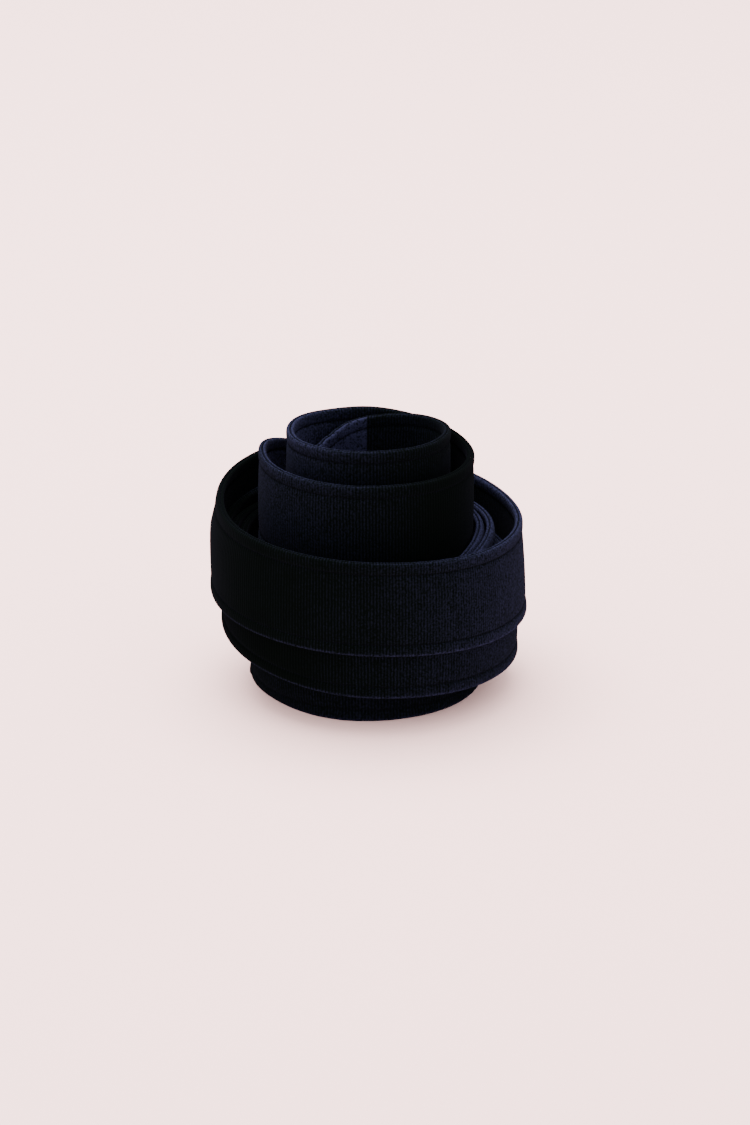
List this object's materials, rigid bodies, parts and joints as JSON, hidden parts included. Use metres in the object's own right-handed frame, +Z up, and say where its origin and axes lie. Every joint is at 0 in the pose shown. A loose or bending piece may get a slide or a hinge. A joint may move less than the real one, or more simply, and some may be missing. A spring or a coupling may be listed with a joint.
{
  "type": "rolled velvet hair band",
  "caption": "Long flat velvet hair band, wired along both edges and topstitched, rolled up and stood on its edge with the inner turns drawn up into a tower.",
  "frame": {"origin": "on the roll's axis, at the height of the surface that the lowest turn stands on", "axes": "+Z up along the roll's axis, -Y towards the front of the roll, +X to its right"},
  "size_m": [0.0812, 0.081, 0.07],
  "materials": {
    "face_velvet": "deep navy ribbed velvet, matte with a soft sheen",
    "back_velvet": "deep navy ribbed velvet, matte with a soft sheen",
    "interlining": "dark felted non-woven",
    "wire": "bright soft wire",
    "thread": "navy sewing thread, slight gloss"
  },
  "bodies": {
    "inner_turns": {"inner_turns_face_velvet": "face_velvet", "inner_turns_back_velvet": "back_velvet", "inner_turns_interlining": "interlining", "inner_turns_upper_wire": "wire", "inner_turns_lower_wire": "wire", "inner_turns_upper_topstitch": "thread", "inner_turns_lower_topstitch": "thread", "inner_turns_end_stitches": "thread"},
    "outer_turns": {"outer_turns_face_velvet": "face_velvet", "outer_turns_back_velvet": "back_velvet", "outer_turns_interlining": "interlining", "outer_turns_upper_wire": "wire", "outer_turns_lower_wire": "wire", "outer_turns_upper_topstitch": "thread", "outer_turns_lower_topstitch": "thread", "outer_turns_end_stitches": "thread"}
  },
  "joints": [
    {"name": "tower_slide", "type": "slide", "parent": "outer_turns", "child": "inner_turns", "axis": [0, 0, 1], "range_m": [-0.032, 0.008]}
  ]
}
